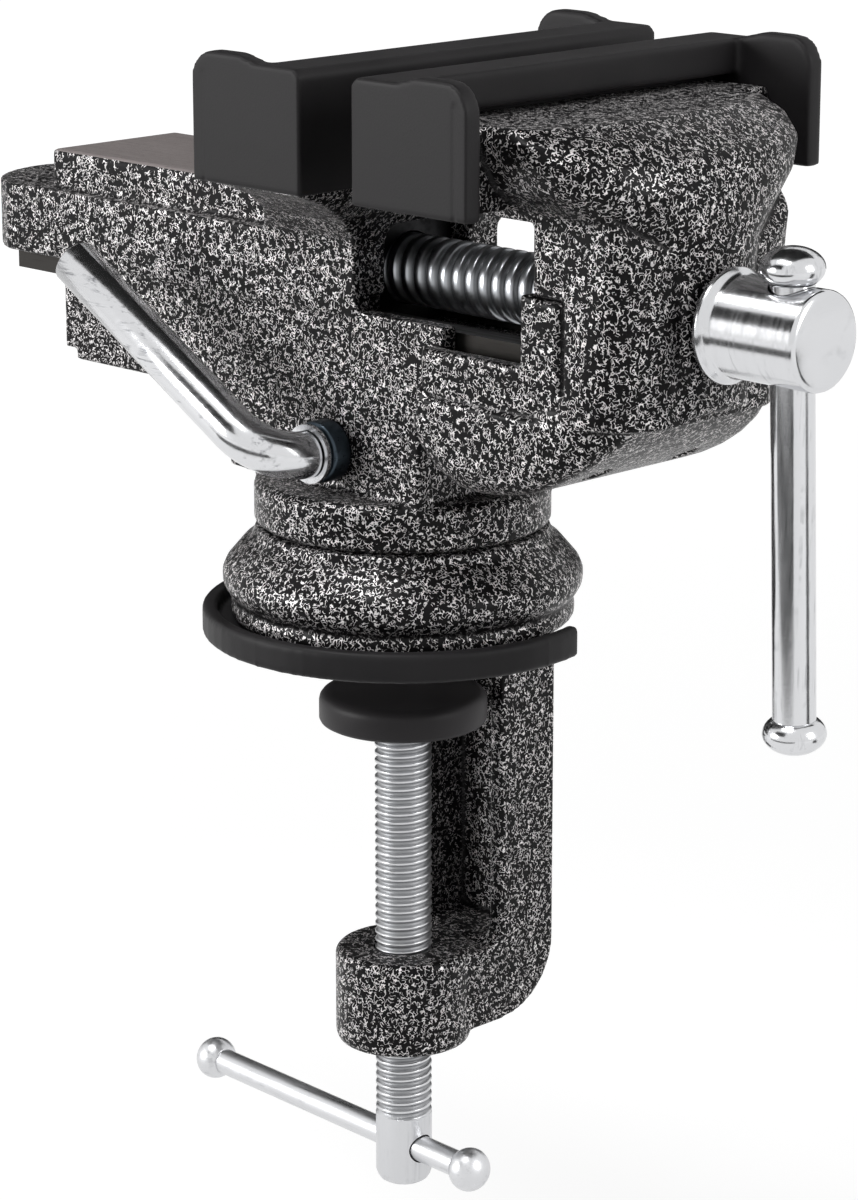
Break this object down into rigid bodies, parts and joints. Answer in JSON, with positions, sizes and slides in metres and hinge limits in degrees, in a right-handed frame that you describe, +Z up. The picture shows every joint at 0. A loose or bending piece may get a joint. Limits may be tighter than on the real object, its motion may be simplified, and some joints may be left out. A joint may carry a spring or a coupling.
{
  "type": "clamp-on swivel vise",
  "caption": "Small swivelling vise that clamps under a bench edge, with a screw driven jaw, soft jaw covers, an anvil and a lever that locks its swivel.",
  "frame": {"origin": "where the swivel axis meets the underside of the bench pad, the face that sits on the bench", "axes": "+Z up along the swivel axis; +X along the main screw, from the fixed jaw to the spindle head; +Y along the jaws, towards the spine of the clamp"},
  "size_m": [0.1875, 0.083, 0.2054],
  "materials": {
    "hammer_paint": "dark hammered paint with silver veins",
    "rubber": "matt moulded rubber",
    "bright_zinc": "bright plated steel",
    "steel_thread": "plain machined steel",
    "ground_iron": "dark ground steel",
    "black_steel": "black oxide",
    "brass": "plain brass"
  },
  "bodies": {
    "clamp_base": {"clamp_frame": "hammer_paint", "bench_pad": "rubber"},
    "swivel": {"swivel_body": "hammer_paint", "fixed_jaw_cover": "rubber", "spindle_nut": "black_steel", "nut_screw": "steel_thread"},
    "jaw": {"moving_jaw": "hammer_paint", "moving_jaw_cover": "rubber", "slide_bar": "ground_iron", "slide_bar_pin_near": "steel_thread", "slide_bar_pin_far": "steel_thread"},
    "main_screw": {"spindle": "bright_zinc", "spindle_pin": "steel_thread", "spindle_washer": "brass"},
    "handle": {"spindle_handle": "bright_zinc", "spindle_handle_knob_upper": "bright_zinc", "spindle_handle_knob_lower": "bright_zinc"},
    "shoe": {"lock_shoe": "brass"},
    "lock": {"lock_screw": "black_steel", "lock_ring": "bright_zinc", "lock_lever": "bright_zinc"},
    "foot": {"clamp_foot": "steel_thread", "clamp_foot_cap": "rubber"},
    "bench_screw": {"clamp_screw": "bright_zinc"},
    "cross_bar": {"clamp_bar": "bright_zinc", "clamp_bar_knob_long": "bright_zinc", "clamp_bar_knob_short": "bright_zinc"}
  },
  "joints": [
    {"name": "swivel_turn", "type": "hinge", "parent": "clamp_base", "child": "swivel", "pos_m": [0, 0, 0.0195], "axis": [0, 0, 1], "continuous": true},
    {"name": "jaw_slide", "type": "slide", "parent": "swivel", "child": "jaw", "axis": [1, 0, 0], "range_m": [-0.0112, 0.049]},
    {"name": "spindle_turn", "type": "hinge", "parent": "jaw", "child": "main_screw", "pos_m": [0.072, 0, 0.0632], "axis": [1, 0, 0], "range_deg": [-1344.5, 5880.5]},
    {"name": "handle_slide", "type": "slide", "parent": "main_screw", "child": "handle", "axis": [0, -0.0454, 0.999], "range_m": [0, 0.0524]},
    {"name": "shoe_slide", "type": "slide", "parent": "swivel", "child": "shoe", "axis": [0, -1, 0], "range_m": [0, 0.00026]},
    {"name": "lock_turn", "type": "hinge", "parent": "shoe", "child": "lock", "pos_m": [0, -0.0226, 0.0344], "axis": [0, -1, 0], "range_deg": [0, 75]},
    {"name": "foot_slide", "type": "slide", "parent": "clamp_base", "child": "foot", "axis": [0, 0, 1], "range_m": [-0.0406, 0.0107]},
    {"name": "clamp_screw_turn", "type": "hinge", "parent": "foot", "child": "bench_screw", "pos_m": [0, 0, -0.06], "axis": [0, 0, 1], "range_deg": [-9744.5, 2568.5]},
    {"name": "cross_bar_slide", "type": "slide", "parent": "bench_screw", "child": "cross_bar", "axis": [0.9989, -0.0471, 0], "range_m": [-0.0091, 0.0449]}
  ],
  "couplings": [
    {"joint": "spindle_turn", "follows": "jaw_slide", "rad_per_m": 2094.4},
    {"joint": "clamp_screw_turn", "follows": "foot_slide", "rad_per_m": 4188.8},
    {"joint": "lock_turn", "follows": "shoe_slide", "rad_per_m": 5026.5}
  ]
}
